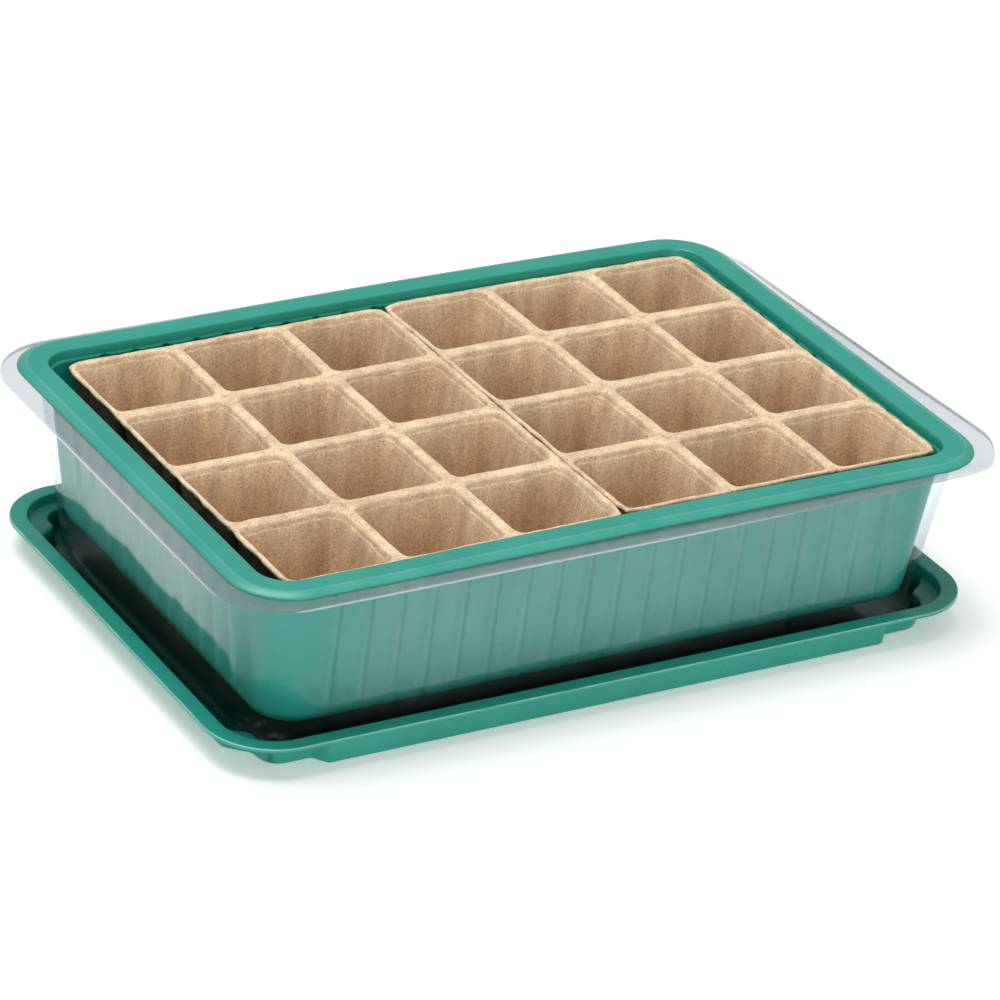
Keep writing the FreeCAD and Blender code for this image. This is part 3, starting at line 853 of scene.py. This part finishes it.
def clear_plastic():
    """Clear thin sheet: light passes straight and the surface mirrors; the corners get a painted dimmer
    reflection, and painted white highlights where creased.
    """
    material, nodes, links, shader = new_material("clear_plastic_sheet")
    place = nodes.new("ShaderNodeTexCoord").outputs["Object"]
    at = split_axes(nodes, links, place)
    wave = add_noise(nodes, links, place, 26.0, 2.0)
    ripple = add_noise(nodes, links, place, 9.0, 1.0, stretch=(1.0, 1.0, 0.25))
    normal = add_bump(nodes, links, wave, 0.8 * MM, 0.5)
    normal = add_bump(nodes, links, ripple, 4.0 * MM, 0.35, normal)

    # painted reflection: the corners mirror and veil less, which shows a dimmer reflection there
    drawn = add_math(nodes, links, "MULTIPLY",
                     far_along(nodes, links, at["X"], 115 * MM, 150 * MM),
                     far_along(nodes, links, at["Y"], 40 * MM, 95 * MM))
    corner_reflection_cut = add_range(nodes, links, drawn, 0.0, 1.0, 1.0, 0.35)

    # clear and mirroring: the mirror grows steeply towards a glancing view
    on_flange = add_range(nodes, links, at["Z"], 80.0 * MM, 83.5 * MM, 0.0, 1.0)
    clear = nodes.new("ShaderNodeBsdfTransparent")
    tint = add_ramp(nodes, links, on_flange, [(0.0, CLEAR_TINTS[0]), (1.0, CLEAR_TINTS[1])])
    links.new(tint, clear.inputs["Color"])
    gloss = nodes.new("ShaderNodeBsdfGlossy")
    gloss.inputs["Roughness"].default_value = 0.045
    links.new(normal, gloss.inputs["Normal"])
    facing = nodes.new("ShaderNodeLayerWeight")
    facing.inputs["Blend"].default_value = 0.5
    links.new(normal, facing.inputs["Normal"])
    steep = add_math(nodes, links, "POWER", facing.outputs["Facing"], 5.0)
    mirror = add_range(nodes, links, steep, 0.0, 1.0, CLEAR_HEAD_ON_MIRROR, 1.0)
    mirror = add_math(nodes, links, "MULTIPLY", mirror, corner_reflection_cut)
    sheet = mix_shaders(nodes, links, mirror, clear.outputs["BSDF"], gloss.outputs["BSDF"])

    # haze: a streaky veil on the walls, more on the flange; painted highlights along the lip's lower
    # edge and in the creases at the foot
    streak = add_noise(nodes, links, place, 150.0, 5.0, 0.7, stretch=(1.0, 1.0, 0.4))
    upper = add_range(nodes, links, at["Z"], 10 * MM, 28 * MM, 0.08, 1.0)
    veil = add_math(nodes, links, "MULTIPLY", upper,
                    add_range(nodes, links, streak, 0.35, 0.8, 0.004, 0.036))
    veil = add_math(nodes, links, "MULTIPLY", veil, corner_reflection_cut)
    flange = add_range(nodes, links, at["Z"], 80.0 * MM, 83.5 * MM, 0.0, 0.060)
    # painted highlight along the lip's lower edge
    outside = add_math(nodes, links, "MAXIMUM",
                       far_along(nodes, links, at["X"], 188.8 * MM, 189.4 * MM),
                       far_along(nodes, links, at["Y"], 129.5 * MM, 130.1 * MM))
    lip_highlight = add_math(nodes, links, "MULTIPLY", outside,
                   add_range(nodes, links, at["Z"], 84.2 * MM, 85.0 * MM, 0.30, 0.0))
    # painted white highlights in the crumpled roof corners
    corner = add_math(nodes, links, "MULTIPLY",
                      far_along(nodes, links, at["X"], 140 * MM, 156 * MM),
                      far_along(nodes, links, at["Y"], 84 * MM, 100 * MM))
    corner = add_math(nodes, links, "MULTIPLY", corner,
                      add_range(nodes, links, at["Z"], 6 * MM, 18 * MM, 1.0, 0.0))
    wrinkle = add_noise(nodes, links, place, 210.0, 4.0, 0.6, stretch=(0.35, 1.0, 1.0))
    crease = add_math(nodes, links, "MULTIPLY", corner,
                      add_range(nodes, links, wrinkle, 0.50, 0.66, 0.02, 0.30))
    total = add_math(nodes, links, "ADD", veil, add_math(nodes, links, "ADD", flange, lip_highlight))
    total = add_math(nodes, links, "ADD", total, crease)
    shader.inputs["Base Color"].default_value = CLEAR_HAZE + (1.0,)
    shader.inputs["Roughness"].default_value = 0.09
    shader.inputs["IOR"].default_value = 1.55
    links.new(normal, shader.inputs["Normal"])
    links.new(mix_shaders(nodes, links, total, sheet, shader.outputs["BSDF"]),
              nodes["Material Output"].inputs["Surface"])
    return material


# ---------------------------------------------------------------- stage
def make_stage():
    """Plain pale floor, even white surround and soft lights."""
    mesh = bpy.data.meshes.new("floor")
    corners = [(x * FLOOR_HALF, y * FLOOR_HALF, 0) for x, y in ((-1, -1), (1, -1), (1, 1), (-1, 1))]
    mesh.from_pydata(corners, [], [(0, 1, 2, 3)])
    floor = bpy.data.objects.new("floor", mesh)
    bpy.context.scene.collection.objects.link(floor)
    material, _, _, shader = new_material("pale_floor")
    shader.inputs["Base Color"].default_value = FLOOR_TONE + (1.0,)
    shader.inputs["Emission Color"].default_value = (1.0, 1.0, 1.0, 1.0)
    shader.inputs["Emission Strength"].default_value = FLOOR_GLOW
    shader.inputs["Roughness"].default_value = 0.9
    shader.inputs["Specular IOR Level"].default_value = 0.1
    mesh.materials.append(material)
    world = bpy.data.worlds.new("studio")
    bpy.context.scene.world = world
    world.use_nodes = True
    background = world.node_tree.nodes["Background"]
    background.inputs["Color"].default_value = (1.0, 1.0, 1.0, 1.0)
    background.inputs["Strength"].default_value = SURROUND_GLOW
    for name, place, size, power in LIGHTS:
        add_light(name, place, size, power)


def add_light(name, place, size, power):
    """Square soft light aimed at the origin."""
    light = bpy.data.lights.new(name, "AREA")
    light.shape = "SQUARE"
    light.size = size
    light.energy = power
    obj = bpy.data.objects.new(name, light)
    obj.location = place
    obj.rotation_euler = (-Vector(place)).to_track_quat("-Z", "Y").to_euler()
    bpy.context.scene.collection.objects.link(obj)


def make_camera():
    """Long lens ahead and to the left of the tray, looking down at its rim, a little tilted."""
    back = Vector((math.sin(CAMERA_AZIMUTH) * math.cos(CAMERA_ELEVATION),
                   -math.cos(CAMERA_AZIMUTH) * math.cos(CAMERA_ELEVATION),
                   math.sin(CAMERA_ELEVATION)))
    level = Vector((0, 0, 1)).cross(back).normalized()
    upright = back.cross(level)
    right = math.cos(CAMERA_ROLL) * level + math.sin(CAMERA_ROLL) * upright
    up = -math.sin(CAMERA_ROLL) * level + math.cos(CAMERA_ROLL) * upright
    _, _, _, rim_top = node_place("seed_tray")
    across, above, away = CAMERA_OFFSET
    place = Vector((*CAMERA_AIM, rim_top)) + across * right + above * up + away * back
    data = bpy.data.cameras.new("camera")
    data.sensor_width = CAMERA_SENSOR
    data.lens = CAMERA_LENS
    camera = bpy.data.objects.new("camera", data)
    camera.matrix_world = Matrix((
        (right.x, up.x, back.x, place.x),
        (right.y, up.y, back.y, place.y),
        (right.z, up.z, back.z, place.z),
        (0, 0, 0, 1)))
    bpy.context.scene.collection.objects.link(camera)
    bpy.context.scene.camera = camera


def main():
    noise.seed_set(NOISE_SEED)
    green = green_plastic()
    _, _, _, strip_top = node_place("pot_strip_left")
    pulp = fibre_pulp(strip_top)
    make_drip_tray(green)
    make_clear_dome(clear_plastic())
    make_seed_tray(green)
    make_strip("pot_strip_left", "strip_left", 11, -1, LEFT_LEAN, -STRIP_OFFSET, pulp)
    make_strip("pot_strip_right", "strip_right", 23, 1, RIGHT_LEAN, STRIP_OFFSET, pulp)
    make_stage()
    make_camera()
    view = bpy.context.scene.view_settings
    view.view_transform = "Standard"
    view.look = "None"


main()
